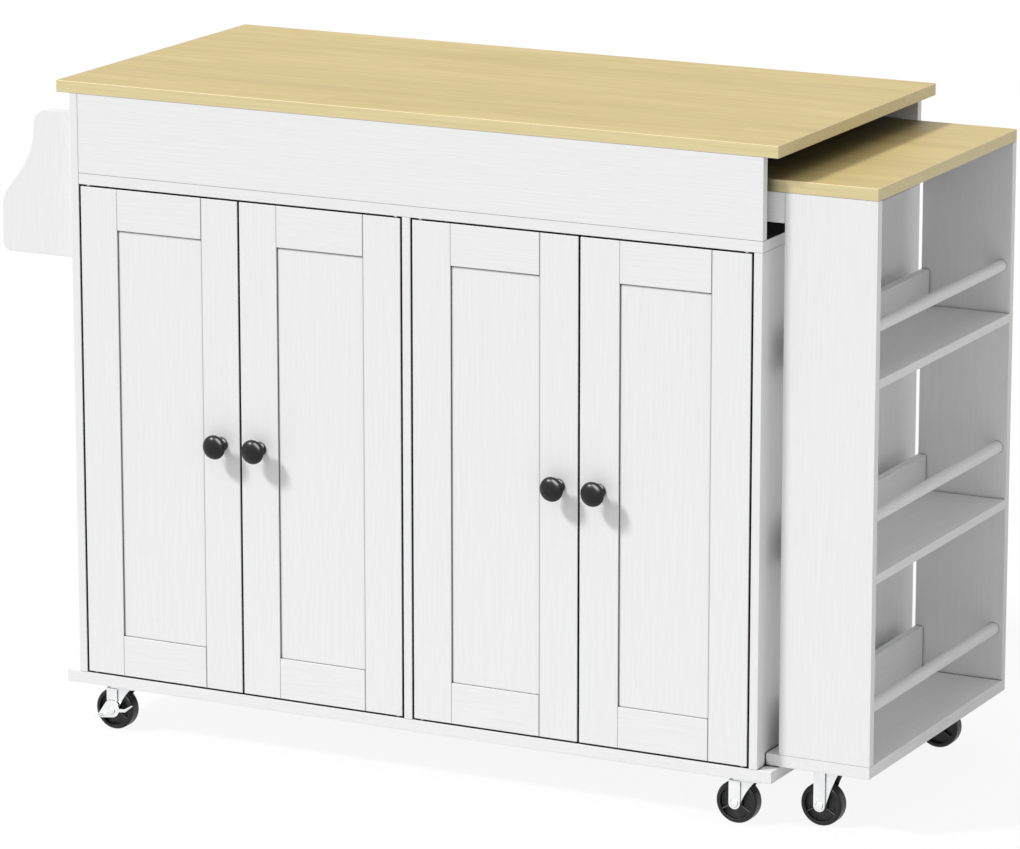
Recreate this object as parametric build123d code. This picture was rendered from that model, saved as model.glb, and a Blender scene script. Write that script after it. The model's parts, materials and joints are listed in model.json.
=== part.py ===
"""Rolling kitchen island: a four-door cabinet with a pull-out table and spice rack, on swivel casters.

Millimetres, +Z up. The model is drawn with X = 0 at the cabinet's middle, Y = 0 at its front face and
Z = 0 on the floor, and is moved at the end so that the origin is under the middle of its bounding box.
"""
import os
from math import hypot

from build123d import *

# Boards
top_length = 1052.0
top_depth = 507.0
top_thickness = 16.0
side_overhang = 20.0            # worktop and base past each side panel
panel_thickness = 12.0          # side panels, divider, aprons, shelves, rack panels
base_thickness = 16.0
carcass_top_thickness = 15.0
opening_height = 676.0          # base to carcass top, behind the doors
apron_height = 107.0            # carcass top to worktop
edge_ease = 0.5                 # eased edges of every board
back_panel_thickness = 4.0
back_panel_inset = 8.0          # from the cabinet's back face
back_groove_depth = 5.0
groove_clearance = 0.15

# Doors
door_thickness = 15.0
door_side_gap = 3.0
door_meeting_gap = 3.0
door_end_gap = 2.5
door_frame_width = 55.5
door_recess = 2.2               # front of the frame to the panel
door_panel_thickness = 5.0
door_groove_depth = 8.0
door_panel_play = 1.0           # panel's edge to the bottom of its groove

# Hinge pins, at the top and bottom of each door
pin_radius = 2.5
pin_running_clearance = 0.05
pin_from_edge = 9.0             # pin's axis to the door's hinge edge
pin_from_front = 7.0            # pin's axis to the door's front face
pin_in_door = 18.0
pin_in_board = 9.0
pin_collar_radius = 3.4
pin_collar_clearance = 0.3

# Knobs
knob_radius = 16.5
knob_length = 29.0
knob_rim_height = 20.0          # widest place, from the door's face
knob_rim_roll = 1.5             # rounding behind the rim
knob_dome_fullness = 0.552      # an ellipse at this value
knob_foot_radius = 9.2
knob_foot_thickness = 2.0
knob_neck_radius = 5.5
knob_above_base = 343.0         # knob's axis over the base board

# Loose shelves inside
shelf_above_base = 326.0        # underside of the shelf over the base board
shelf_front_inset = 40.0
shelf_side_play = 1.0
shelf_back_play = 1.5
shelf_pin_radius = 2.5
shelf_pin_length = 13.0
shelf_pin_in_panel = 5.0
shelf_pin_inset = 45.0          # from the shelf's front and back edges
shelf_hole_step = 64.0          # spare holes above and below the pins
shelf_hole_clearance = 0.05

# Pull-out rack and table
rack_width = 127.0              # along the cabinet's length
rack_inset = 24.0               # rack's front behind the worktop's front
rack_end = 126.0                # rack's outer end past the worktop's end
rack_base_thickness = 16.0
rack_base_lift = 0.8            # rack's base over the cabinet's base
rack_base_gap = 1.0             # rack's base to the cabinet's side
rack_height = 766.0             # rack's base to the top of the table
table_thickness = 16.0
rack_shelf_tops = (266.7, 520.2)    # over the rack's underside
rack_lip_height = 61.0
rack_rail_radius = 8.0
rack_rail_inset = 13.5          # rail's axis to the rack's outer end
rack_rail_heights = (71.0, 71.0, 64.0)  # rail's axis over its shelf, from the bottom up
rack_rail_in_panel = 6.0
rail_hole_clearance = 0.1
table_travel = 450.0
table_rail_height = 39.0
table_end_side_gap = 3.0        # end board to the aprons
glide_thickness = 3.0
glide_length = 40.0
glide_clearance = 0.3
glide_ease = 1.0
stop_length = 30.0
stop_height = 40.0
stop_from_end = 24.0            # stop to the right end of the aprons
stop_clearance = 2.0            # stop to the table's rails
stop_play = 1.0

# Spice rack on the left side
spice_depth = 114.0
spice_height = 197.5
spice_below_top = 27.7          # bracket's top under the worktop
spice_front_inset = 10.0
spice_crown_width = 63.0
spice_crown_radius = 22.0
spice_foot_radius = 12.0
spice_sweep_start = 62.0        # where the outer edge starts to sweep in, over the bracket's foot
spice_sweep_lower = 33.0        # pull of the sweep's lower half
spice_sweep_upper = 64.0        # pull of the sweep's upper half
spice_shelf_lift = 10.0
spice_shelf_setback = 9.0       # shelf's outer edge behind the bracket's
spice_rail_lift = 51.0
spice_rail_setback = 14.0
spice_rail_in_bracket = 6.0

# Casters
wheel_radius = 28.5
wheel_width = 21.0
wheel_edge_radius = 4.0
wheel_rim_inner_radius = 22.5
wheel_hub_radius = 9.0
wheel_web_thickness = 8.0
wheel_rib_thickness = 1.6
wheel_rib_setback = 1.5         # rib under the rim's face
wheel_rib_count = 3
axle_radius = 3.0
axle_running_clearance = 0.05
axle_head_radius = 5.0
axle_head_height = 1.6
axle_head_ease = 0.7
fork_sheet = 1.8
fork_wheel_gap = 1.0
fork_bend_radius = 3.5
fork_leg_half_width = 8.0
fork_crown_radius = 16.2        # rounded end of the fork's top, about the swivel axis
fork_skirt_end = 27.0           # where the trailing edge meets the top, from the axle
fork_upper_pull = (6.2, 5.5)    # how far back and down the top pulls the trailing edge
fork_lower_pull = (3.0, 10.0)   # how far out and up the leg pulls it
fork_pad_thickness = 2.2        # raised strip down the leg
caster_trail = 18.3             # swivel axis to the axle
caster_height = 63.0            # floor to the cabinet's base
caster_plate_size = 40.0
caster_plate_corner = 4.0
caster_plate_thickness = 1.5
caster_hole_radius = 2.2
caster_hole_spacing = 29.0
race_radius = 14.0
race_height = 0.4
swivel_gap = 0.3
king_pin_radius = 4.0
king_pin_clearance = 0.05
king_pin_head_radius = 6.5
king_pin_head_height = 2.0
caster_left_inset = 85.0        # swivel axes from the ends and edges of the base
caster_right_inset = 36.0
caster_front_inset = 20.5
rack_caster_end_inset = 60.0
rack_caster_front_inset = 35.5

# Brake levers
brake_sheet = 1.5
brake_play = 0.3
brake_hole_clearance = 0.1
brake_boss_radius = 12.0
brake_boss_lift = 2.0           # middle of the round boss over the axle
brake_pedal_tip = (-19.5, -10.0)
brake_pedal_tip_radius = 2.4
brake_tail_root_radius = 2.8
brake_tail_knee = (21.0, 1.8)   # where the tail turns upwards
brake_tail_knee_radius = 2.0
brake_tail_tip = (32.0, 9.6)
brake_tail_tip_radius = 0.8
brake_tab_reach = 11.0          # tab bent outwards at the pedal's tip
brake_tab_width = 6.0

# Levels and faces
half_width = top_length / 2 - side_overhang
left_inner = -half_width + panel_thickness
right_inner = half_width - panel_thickness
divider_left = -panel_thickness / 2
divider_right = panel_thickness / 2
base_top = caster_height + base_thickness
opening_top = base_top + opening_height
deck_top = opening_top + carcass_top_thickness
apron_top = deck_top + apron_height
worktop_top = apron_top + top_thickness
back_panel_back = top_depth - back_panel_inset
back_panel_front = back_panel_back - back_panel_thickness

rack_left = top_length / 2 + rack_end - rack_width
rack_right = top_length / 2 + rack_end
rack_front = rack_inset
rack_back = top_depth - rack_inset
rack_bottom = base_top + rack_base_lift
rack_floor = rack_bottom + rack_base_thickness
table_top = rack_bottom + rack_height
table_bottom = table_top - table_thickness
stop_right = half_width - stop_from_end
stop_left = stop_right - stop_length
table_end_right = stop_left - stop_play - table_travel
table_end_left = table_end_right - panel_thickness


def board(x0, x1, y0, y1, z0, z1, ease=edge_ease):
    """A straight board between two corners, with eased edges."""
    plain = Box(x1 - x0, y1 - y0, z1 - z0)
    eased = chamfer(plain.edges(), ease)
    return Pos((x0 + x1) / 2, (y0 + y1) / 2, (z0 + z1) / 2) * eased


def cut_box(x0, x1, y0, y1, z0, z1):
    """A sharp-edged block, to cut with."""
    return Pos((x0 + x1) / 2, (y0 + y1) / 2, (z0 + z1) / 2) * Box(x1 - x0, y1 - y0, z1 - z0)


def rod_x(x0, x1, y, z, radius):
    return Pos((x0 + x1) / 2, y, z) * Rot(0, 90, 0) * Cylinder(radius, x1 - x0)


def rod_y(x, y0, y1, z, radius):
    return Pos(x, (y0 + y1) / 2, z) * Rot(90, 0, 0) * Cylinder(radius, y1 - y0)


def rod_z(x, y, z0, z1, radius):
    return Pos(x, y, (z0 + z1) / 2) * Cylinder(radius, z1 - z0)


def slab(face, y0, y1):
    """A face drawn in X and Z, made solid from y0 to y1."""
    return extrude(Plane.XZ.offset(-y1) * face, y1 - y0)


# Cabinet

def shelf_pin_places():
    """Y and Z of the pins that carry a shelf."""
    z = base_top + shelf_above_base - shelf_pin_radius
    front = shelf_front_inset + shelf_pin_inset
    back = back_panel_front - shelf_back_play - shelf_pin_inset
    return [(front, z), (back, z)]


def shelf_holes(face_x, direction):
    """Rows of pin holes in a panel's face; direction points out of the panel."""
    inner = face_x - direction * (shelf_pin_in_panel + shelf_hole_clearance)
    x0, x1 = min(face_x, inner), max(face_x, inner)
    radius = shelf_pin_radius + shelf_hole_clearance
    holes = []
    for y, z in shelf_pin_places():
        for step in (-1, 0, 1):
            holes.append(rod_x(x0, x1, y, z + step * shelf_hole_step, radius))
    return holes


def back_groove(face_x, direction):
    """Groove in a panel's face for the edge of a back panel."""
    inner = face_x - direction * back_groove_depth
    y0 = back_panel_front - groove_clearance
    y1 = back_panel_back + groove_clearance
    return cut_box(min(face_x, inner), max(face_x, inner), y0, y1, base_top, opening_top)


def cabinet_panel(x0, x1, z1, faces):
    """An upright panel, with its shelf holes and grooves in the faces named."""
    panel = board(x0, x1, 0, top_depth, base_top, z1)
    for face_x, direction in faces:
        panel = panel - back_groove(face_x, direction)
        panel = panel - shelf_holes(face_x, direction)
    return panel


def bays():
    """Left and right inner faces of the two cupboards."""
    return [(left_inner, divider_left), (divider_right, right_inner)]


def back_panels():
    panels = []
    reach = back_groove_depth - groove_clearance
    for x0, x1 in bays():
        panels.append(board(x0 - reach, x1 + reach, back_panel_front, back_panel_back, base_top, opening_top))
    return panels


def shelf_boards():
    shelves = []
    z0 = base_top + shelf_above_base
    for x0, x1 in bays():
        shelves.append(board(x0 + shelf_side_play, x1 - shelf_side_play, shelf_front_inset,
                             back_panel_front - shelf_back_play, z0, z0 + panel_thickness))
    return shelves


def shelf_pins():
    pins = []
    out = shelf_pin_length - shelf_pin_in_panel
    for x0, x1 in bays():
        for y, z in shelf_pin_places():
            pins.append(rod_x(x0 - shelf_pin_in_panel, x0 + out, y, z, shelf_pin_radius))
            pins.append(rod_x(x1 - out, x1 + shelf_pin_in_panel, y, z, shelf_pin_radius))
    return pins


# Doors

def door_places():
    """Left edge and hinge side of each door, from left to right; -1 is hinged on its left."""
    places = []
    for x0, x1 in bays():
        places.append((x0 + door_side_gap, -1))
        places.append(((x0 + x1 + door_meeting_gap) / 2, 1))
    return places


door_width = (left_inner - divider_left) / -2 - door_side_gap - door_meeting_gap / 2
door_bottom = base_top + door_end_gap
door_top = opening_top - door_end_gap


def hinge_x(left, hinge_side):
    """X of a door's hinge axis."""
    if hinge_side < 0:
        return left + pin_from_edge
    return left + door_width - pin_from_edge


def door_frame(left, hinge_side):
    """Two grooved stiles, bored for the hinge pins, and two rails with tongues that lie in the grooves."""
    right = left + door_width
    inner_left = left + door_frame_width
    inner_right = right - door_frame_width
    inner_bottom = door_bottom + door_frame_width
    inner_top = door_top - door_frame_width
    groove_front = door_recess - groove_clearance
    groove_back = door_recess + door_panel_thickness + groove_clearance
    stile_groove = cut_box(inner_left - door_groove_depth, inner_right + door_groove_depth, groove_front,
                           groove_back, door_bottom, door_top)
    panel_groove = cut_box(inner_left - door_groove_depth, inner_right + door_groove_depth, groove_front,
                           groove_back, inner_bottom - door_groove_depth, inner_top + door_groove_depth)
    bore_x = hinge_x(left, hinge_side)
    bore_radius = pin_radius + pin_running_clearance
    bore_depth = pin_in_door + pin_collar_clearance
    bores = [rod_z(bore_x, pin_from_front, door_bottom, door_bottom + bore_depth, bore_radius),
             rod_z(bore_x, pin_from_front, door_top - bore_depth, door_top, bore_radius)]
    stiles = [board(left, inner_left, 0, door_thickness, door_bottom, door_top) - stile_groove,
              board(inner_right, right, 0, door_thickness, door_bottom, door_top) - stile_groove]
    hinge_stile = 0 if hinge_side < 0 else 1
    stiles[hinge_stile] = stiles[hinge_stile] - bores
    tongue_reach = door_groove_depth - door_panel_play
    rails = []
    for z0, z1 in ((door_bottom, inner_bottom), (inner_top, door_top)):
        rail = board(inner_left, inner_right, 0, door_thickness, z0, z1)
        tongue = cut_box(inner_left - tongue_reach, inner_right + tongue_reach, door_recess,
                         door_recess + door_panel_thickness, z0 + edge_ease, z1 - edge_ease)
        rails.append(rail + tongue - panel_groove)
    return stiles + rails


def door_panel(left):
    reach = door_groove_depth - door_panel_play
    return board(left + door_frame_width - reach, left + door_width - door_frame_width + reach,
                 door_recess, door_recess + door_panel_thickness,
                 door_bottom + door_frame_width - reach, door_top - door_frame_width + reach)


def knob(left, hinge_side):
    """Mushroom knob, turned about its axis and set on the middle of the meeting stile."""
    foot = -knob_foot_thickness
    rim = -knob_rim_height
    under = Vector(knob_radius - knob_rim_roll, rim + knob_rim_roll)
    dome_side = rim - knob_dome_fullness * (knob_length - knob_rim_height)
    dome = Bezier((0, -knob_length), (knob_dome_fullness * knob_radius, -knob_length), (knob_radius, dome_side),
                  (knob_radius, rim))
    outline = [
        Line((0, 0), (knob_foot_radius, 0)),
        Line((knob_foot_radius, 0), (knob_foot_radius, foot)),
        ThreePointArc((knob_foot_radius, foot), (knob_neck_radius, (foot + under.Y) / 2), under),
        RadiusArc(under, (knob_radius, rim), knob_rim_roll),
        dome,
        Line((0, -knob_length), (0, 0)),
    ]
    turned = revolve(make_face(outline), Axis.Y)
    x = left + door_width - door_frame_width / 2 if hinge_side < 0 else left + door_frame_width / 2
    return Pos(x, 0, base_top + knob_above_base) * turned


def hinge_pin(x, door_end, board_face, direction):
    """One pin, from a board into the end of a door, with a collar that the door turns on."""
    board_end = board_face - direction * pin_in_board
    tip = door_end + direction * pin_in_door
    collar_end = door_end - direction * pin_collar_clearance
    shaft = rod_z(x, pin_from_front, min(board_end, tip), max(board_end, tip), pin_radius)
    collar = rod_z(x, pin_from_front, min(board_face, collar_end), max(board_face, collar_end),
                   pin_collar_radius)
    return shaft + collar


def hinge_pins():
    pins = []
    for left, hinge_side in door_places():
        x = hinge_x(left, hinge_side)
        pins.append(hinge_pin(x, door_bottom, base_top, 1))
        pins.append(hinge_pin(x, door_top, opening_top, -1))
    return pins


def pin_sockets(board_face, direction):
    """Blind holes in the base or the carcass top that the hinge pins are set in."""
    end = board_face - direction * pin_in_board
    z0, z1 = min(board_face, end), max(board_face, end)
    return [rod_z(hinge_x(left, side), pin_from_front, z0, z1, pin_radius) for left, side in door_places()]


# Pull-out rack and table

def rack_panel(y0, y1, inner_y):
    """A rack end panel, with blind holes in its inner face for the rails."""
    panel = board(rack_left, rack_right, y0, y1, rack_floor, table_bottom)
    radius = rack_rail_radius + rail_hole_clearance
    depth = rack_rail_in_panel + rail_hole_clearance
    hole_end = inner_y - depth if inner_y == y1 else inner_y + depth
    for z in rack_rail_levels():
        panel = panel - rod_y(rack_right - rack_rail_inset, min(inner_y, hole_end), max(inner_y, hole_end), z,
                              radius)
    return panel


def rack_levels():
    """Top faces of the rack's floor and shelves, from the bottom up."""
    return [rack_floor] + [rack_bottom + height for height in rack_shelf_tops]


def rack_rail_levels():
    return [level + height for level, height in zip(rack_levels(), rack_rail_heights)]


rack_inside_front = rack_front + panel_thickness
rack_inside_back = rack_back - panel_thickness
lip_face = rack_left + panel_thickness


def rack_shelves():
    return [board(lip_face, rack_right, rack_inside_front, rack_inside_back, level - panel_thickness, level)
            for level in rack_levels()[1:]]


def rack_lips():
    """Low boards along the inner edge of the rack's floor and shelves."""
    lips = []
    for index, level in enumerate(rack_levels()):
        foot = level if index == 0 else level - panel_thickness
        lips.append(board(rack_left, lip_face, rack_inside_front, rack_inside_back, foot,
                          foot + rack_lip_height))
    return lips


def rack_rails():
    return [rod_y(rack_right - rack_rail_inset, rack_inside_front - rack_rail_in_panel,
                  rack_inside_back + rack_rail_in_panel, z, rack_rail_radius) for z in rack_rail_levels()]


def table_rails():
    """Long rails under the table's front and back edges, from the rack to the end board."""
    z0 = table_bottom - table_rail_height
    return [board(table_end_right, rack_left, rack_front, rack_inside_front, z0, table_bottom),
            board(table_end_right, rack_left, rack_inside_back, rack_back, z0, table_bottom)]


end_board_front = panel_thickness + table_end_side_gap
end_board_back = top_depth - end_board_front
end_board_bottom = deck_top + glide_clearance + glide_thickness


def table_glides():
    """Two slippery pads under the end board, which run on the carcass top."""
    middle = (table_end_left + table_end_right) / 2
    half = panel_thickness / 2 - glide_ease
    pads = []
    for y in (rack_front, rack_back - glide_length):
        pads.append(board(middle - half, middle + half, y, y + glide_length, deck_top + glide_clearance,
                          end_board_bottom, glide_ease / 2))
    return pads


def table_stops():
    """Blocks inside the aprons that the end board meets when the table is right out."""
    z0 = deck_top + (apron_height - stop_height) / 2
    thickness = rack_front - stop_clearance - panel_thickness
    front = board(stop_left, stop_right, panel_thickness, panel_thickness + thickness, z0, z0 + stop_height)
    back_face = top_depth - panel_thickness
    back = board(stop_left, stop_right, back_face - thickness, back_face, z0, z0 + stop_height)
    return [front, back]


# Spice rack on the left side

spice_top = apron_top - spice_below_top
spice_bottom = spice_top - spice_height
spice_inside_front = spice_front_inset + panel_thickness
spice_inside_back = top_depth - spice_inside_front


def spice_outline():
    """Bracket seen from the front: a narrow crown that sweeps out to a deep foot."""
    outer = -half_width - spice_depth
    crown = -half_width - spice_crown_width
    foot = spice_bottom
    sweep_z = foot + spice_sweep_start
    crown_z = spice_top - spice_crown_radius
    return make_face([
        Line((-half_width, foot), (outer + spice_foot_radius, foot)),
        RadiusArc((outer + spice_foot_radius, foot), (outer, foot + spice_foot_radius), spice_foot_radius),
        Line((outer, foot + spice_foot_radius), (outer, sweep_z)),
        Bezier((outer, sweep_z), (outer, sweep_z + spice_sweep_lower), (crown, crown_z - spice_sweep_upper),
               (crown, crown_z)),
        RadiusArc((crown, crown_z), (crown + spice_crown_radius, spice_top), spice_crown_radius),
        Line((crown + spice_crown_radius, spice_top), (-half_width, spice_top)),
        Line((-half_width, spice_top), (-half_width, foot)),
    ])


spice_rail_x = -half_width - spice_depth + spice_rail_setback
spice_rail_z = spice_bottom + spice_rail_lift


def spice_ends():
    """The two brackets, with blind holes for the rail."""
    ends = []
    radius = rack_rail_radius + rail_hole_clearance
    depth = spice_rail_in_bracket + rail_hole_clearance
    for y0, y1, inner in ((spice_front_inset, spice_inside_front, spice_inside_front),
                          (spice_inside_back, top_depth - spice_front_inset, spice_inside_back)):
        end = slab(spice_outline(), y0, y1)
        end = chamfer(end.edges(), edge_ease)
        hole_end = inner - depth if inner == y1 else inner + depth
        ends.append(end - rod_y(spice_rail_x, min(inner, hole_end), max(inner, hole_end), spice_rail_z, radius))
    return ends


def spice_shelf():
    z0 = spice_bottom + spice_shelf_lift
    return board(-half_width - spice_depth + spice_shelf_setback, -half_width, spice_inside_front,
                 spice_inside_back, z0, z0 + panel_thickness)


def spice_rail():
    return rod_y(spice_rail_x, spice_inside_front - spice_rail_in_bracket,
                 spice_inside_back + spice_rail_in_bracket, spice_rail_z, rack_rail_radius)


# Casters, drawn about the axle with the swivel axis on +X

fork_half_inside = wheel_width / 2 + fork_wheel_gap
fork_half_outside = fork_half_inside + fork_sheet
fork_face = fork_half_outside + fork_pad_thickness
fork_crown_end = caster_trail + fork_crown_radius
plate_drop = caster_plate_thickness + race_height + swivel_gap


def wheel():
    """Moulded wheel: tread, rim, web, hub and radial ribs, bored for its axle."""
    half = wheel_width / 2
    web = wheel_web_thickness / 2
    bore = axle_radius + axle_running_clearance
    outline = Polyline((bore, -half), (wheel_hub_radius, -half), (wheel_hub_radius, -web),
                       (wheel_rim_inner_radius, -web), (wheel_rim_inner_radius, -half), (wheel_radius, -half),
                       (wheel_radius, half), (wheel_rim_inner_radius, half), (wheel_rim_inner_radius, web),
                       (wheel_hub_radius, web), (wheel_hub_radius, half), (bore, half), close=True)
    section = make_face(outline)
    section = fillet(section.vertices().sort_by(Axis.X)[-2:], wheel_edge_radius)
    turned = revolve(section, Axis.Y)
    rib_length = wheel_rim_inner_radius - wheel_hub_radius + wheel_rib_setback
    rib = Pos((wheel_rim_inner_radius + wheel_hub_radius) / 2, 0, 0) * Box(
        rib_length, wheel_width - 2 * wheel_rib_setback, wheel_rib_thickness)
    for index in range(wheel_rib_count):
        turned = turned + Rot(0, index * 360 / wheel_rib_count - 90, 0) * rib
    return turned


def fork_side(top):
    """Leg seen from the side: a straight leading edge and a trailing edge that sweeps up to the top."""
    half = fork_leg_half_width
    under = top - fork_sheet
    outline = [
        Line((-half, 0), (-half, top)),
        Line((-half, top), (fork_crown_end, top)),
        Line((fork_crown_end, top), (fork_crown_end, under)),
        Line((fork_crown_end, under), (fork_skirt_end, under)),
        Bezier((fork_skirt_end, under), (fork_skirt_end - fork_upper_pull[0], under - fork_upper_pull[1]),
               (half + fork_lower_pull[0], fork_lower_pull[1]), (half, 0)),
        ThreePointArc((half, 0), (0, -half), (-half, 0)),
    ]
    return make_face(outline)


def fork(height):
    """Pressed fork: a bent channel with a round crown, trimmed to the leg's outline, and a raised strip a leg."""
    top = height - plate_drop - wheel_radius
    low = -2 * fork_leg_half_width
    outside = cut_box(-fork_leg_half_width, fork_crown_end, -fork_half_outside, fork_half_outside, low, top)
    outside = fillet(outside.edges().filter_by(Axis.X).group_by(Axis.Z)[-1], fork_bend_radius)
    inside = cut_box(-2 * fork_crown_end, 2 * fork_crown_end, -fork_half_inside, fork_half_inside, 2 * low,
                     top - fork_sheet)
    inside = fillet(inside.edges().filter_by(Axis.X).group_by(Axis.Z)[-1], fork_bend_radius - fork_sheet)
    channel = (outside - inside) & slab(fork_side(top), -fork_half_outside, fork_half_outside)
    crown = rod_z(caster_trail, 0, low, top, fork_crown_radius)
    corners = cut_box(caster_trail, 2 * fork_crown_end, -2 * fork_half_outside, 2 * fork_half_outside, low, top)
    channel = channel - (corners - crown)
    strip_top = top - fork_sheet
    strip = make_face([
        Line((-fork_leg_half_width, 0), (-fork_leg_half_width, strip_top)),
        Line((-fork_leg_half_width, strip_top), (fork_leg_half_width, strip_top)),
        Line((fork_leg_half_width, strip_top), (fork_leg_half_width, 0)),
        ThreePointArc((fork_leg_half_width, 0), (0, -fork_leg_half_width), (-fork_leg_half_width, 0)),
    ])
    body = channel + slab(strip, -fork_face, -fork_half_inside) + slab(strip, fork_half_inside, fork_face)
    body = body - rod_y(0, -fork_face, fork_face, 0, axle_radius + axle_running_clearance)
    return body - rod_z(caster_trail, 0, top - 2 * fork_sheet, top, king_pin_radius + king_pin_clearance)


def axle(brake_side):
    """Riveted axle; a brake lever takes extra length on its side."""
    extra = brake_sheet + 2 * brake_play
    low = -fork_face - (extra if brake_side < 0 else 0)
    high = fork_face + (extra if brake_side > 0 else 0)
    shaft = rod_y(0, low, high, 0, axle_radius)
    heads = []
    for face, outward in ((low, -1), (high, 1)):
        head = Cylinder(axle_head_radius, axle_head_height)
        head = chamfer(head.edges().group_by(Axis.Z)[-1], axle_head_ease)
        head = Pos(0, face + outward * axle_head_height / 2, 0) * Rot(-outward * 90, 0, 0) * head
        heads.append(head)
    return shaft + heads


def caster_plate(height):
    """Top plate with its race and king pin, drawn about the swivel axis."""
    plate = extrude(RectangleRounded(caster_plate_size, caster_plate_size, caster_plate_corner),
                    caster_plate_thickness)
    plate = Pos(0, 0, height - caster_plate_thickness) * plate
    holes = GridLocations(caster_hole_spacing, caster_hole_spacing, 2, 2)
    plate = plate - [Pos(0, 0, height) * place * Cylinder(caster_hole_radius, 4 * caster_plate_thickness)
                     for place in holes]
    race_bottom = height - caster_plate_thickness - race_height
    fork_underside = height - plate_drop - fork_sheet
    head_top = fork_underside - swivel_gap
    plate = plate + rod_z(0, 0, race_bottom, height - caster_plate_thickness, race_radius)
    plate = plate + rod_z(0, 0, head_top - king_pin_head_height, race_bottom, king_pin_radius)
    return plate + rod_z(0, 0, head_top - king_pin_head_height, head_top, king_pin_head_radius)


def tapered_arm(root, root_radius, tip, tip_radius):
    """A flat arm between two rounded ends."""
    ends = (Pos(*root) * Circle(root_radius)).edges() + (Pos(*tip) * Circle(tip_radius)).edges()
    return make_hull(ends)


def brake_lever(side):
    """Toe lever on the axle: a pedal that slopes down to a tab bent outwards, and a thin tail that turns up."""
    pedal = tapered_arm((0, brake_boss_lift), brake_boss_radius, brake_pedal_tip, brake_pedal_tip_radius)
    tail = tapered_arm((0, 0), brake_tail_root_radius, brake_tail_knee, brake_tail_knee_radius)
    tail = tail + tapered_arm(brake_tail_knee, brake_tail_knee_radius, brake_tail_tip, brake_tail_tip_radius)
    along = 1 - brake_tab_width / hypot(*brake_pedal_tip)
    tab_start = (brake_pedal_tip[0] * along, brake_pedal_tip[1] * along)
    tab = tapered_arm(tab_start, brake_sheet / 2, brake_pedal_tip, brake_sheet / 2)
    inner = fork_face + brake_play
    outer = inner + brake_sheet
    lever = slab(pedal + tail, inner, outer) + slab(tab, inner, outer + brake_tab_reach)
    lever = lever - rod_y(0, inner, outer, 0, axle_radius + brake_hole_clearance)
    return lever if side > 0 else mirror(lever, Plane.XZ)


def caster_places():
    """Name, swivel axis, height and brake side of each caster; 0 has no brake."""
    left = -top_length / 2 + caster_left_inset
    right = top_length / 2 - caster_right_inset
    back = top_depth - caster_front_inset
    rack_x = rack_right - rack_caster_end_inset
    rack_near = rack_front + rack_caster_front_inset
    rack_far = rack_back - rack_caster_front_inset
    return [
        ("front_left", left, caster_front_inset, caster_height, -1),
        ("front_right", right, caster_front_inset, caster_height, 0),
        ("back_left", left, back, caster_height, 1),
        ("back_right", right, back, caster_height, 0),
        ("rack_front", rack_x, rack_near, rack_bottom, 0),
        ("rack_back", rack_x, rack_far, rack_bottom, 0),
    ]


def all_nodes():
    """Every named piece, or group of equal pieces, at rest: doors shut and the table pushed in."""
    left_panel = cabinet_panel(-half_width, left_inner, apron_top, [(left_inner, 1)])
    right_panel = cabinet_panel(right_inner, half_width, opening_top, [(right_inner, -1)])
    divider = cabinet_panel(divider_left, divider_right, opening_top, [(divider_left, -1), (divider_right, 1)])
    deck = board(left_inner, half_width, 0, top_depth, opening_top, deck_top)
    base = board(-top_length / 2, top_length / 2, 0, top_depth, caster_height, base_top)
    back_face = top_depth - panel_thickness
    nodes = {
        "main_top": [board(-top_length / 2, top_length / 2, 0, top_depth, apron_top, worktop_top)],
        "base_board": [base - pin_sockets(base_top, 1)],
        "left_side_panel": [left_panel],
        "right_side_panel": [right_panel],
        "centre_divider": [divider],
        "carcass_top": [deck - pin_sockets(opening_top, -1)],
        "front_apron": [board(left_inner, half_width, 0, panel_thickness, deck_top, apron_top)],
        "back_apron": [board(left_inner, half_width, back_face, top_depth, deck_top, apron_top)],
        "back_panels": back_panels(),
        "shelf_boards": shelf_boards(),
        "shelf_pins": shelf_pins(),
        "hinge_pins": hinge_pins(),
        "table_stops": table_stops(),
        "spice_ends": spice_ends(),
        "spice_shelf": [spice_shelf()],
        "spice_rail": [spice_rail()],
        "rack_top": [board(table_end_left, rack_right, rack_front, rack_back, table_bottom, table_top)],
        "rack_front_panel": [rack_panel(rack_front, rack_inside_front, rack_inside_front)],
        "rack_back_panel": [rack_panel(rack_inside_back, rack_back, rack_inside_back)],
        "rack_base": [board(half_width + rack_base_gap, rack_right, rack_front, rack_back, rack_bottom,
                            rack_floor)],
        "rack_shelves": rack_shelves(),
        "rack_lips": rack_lips(),
        "rack_rails": rack_rails(),
        "table_rails": table_rails(),
        "table_end_board": [board(table_end_left, table_end_right, end_board_front, end_board_back,
                                  end_board_bottom, table_bottom)],
        "table_glides": table_glides(),
        "caster_plates": [],
        "rack_caster_plates": [],
    }
    for number, (left, hinge_side) in enumerate(door_places(), start=1):
        nodes[f"door_{number}_frame"] = door_frame(left, hinge_side)
        nodes[f"door_{number}_panel"] = [door_panel(left)]
        nodes[f"door_{number}_knob"] = [knob(left, hinge_side)]
    for name, x, y, height, brake_side in caster_places():
        at_axle = Pos(x - caster_trail, y, wheel_radius)
        plates = "rack_caster_plates" if name.startswith("rack") else "caster_plates"
        nodes[plates].append(Pos(x, y, 0) * caster_plate(height))
        nodes[f"fork_{name}"] = [at_axle * fork(height)]
        nodes[f"axle_{name}"] = [at_axle * axle(brake_side)]
        nodes[f"wheel_{name}"] = [at_axle * wheel()]
        if brake_side:
            nodes[f"brake_{name}"] = [at_axle * brake_lever(brake_side)]
    return nodes


# The origin is under the middle of the box round the whole island
middle_x = (rack_right - half_width - spice_depth) / 2
middle_y = (top_depth - knob_length) / 2
to_origin = Pos(-middle_x, -middle_y, 0)

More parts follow.
